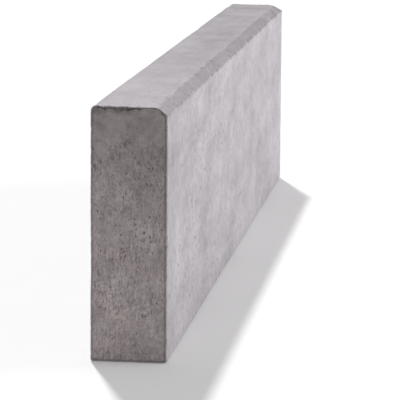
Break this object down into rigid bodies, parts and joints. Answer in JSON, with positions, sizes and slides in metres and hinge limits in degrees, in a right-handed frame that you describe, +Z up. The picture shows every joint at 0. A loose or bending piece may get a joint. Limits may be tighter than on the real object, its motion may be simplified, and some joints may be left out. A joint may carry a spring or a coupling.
{
  "type": "concrete kerb stone",
  "caption": "Straight slim upright concrete kerb with square ends, a flat bed and a chamfered front top edge, for edging paths, lawns and paving.",
  "frame": {"origin": "centre of the bed, the underside that the kerb stands on", "axes": "+X along the kerb's length, -Y out of the chamfered front face, +Z up"},
  "size_m": [1, 0.06, 0.2],
  "materials": {
    "concrete": "matte"
  },
  "bodies": {
    "root": {"kerb_stone": "concrete"}
  },
  "joints": []
}
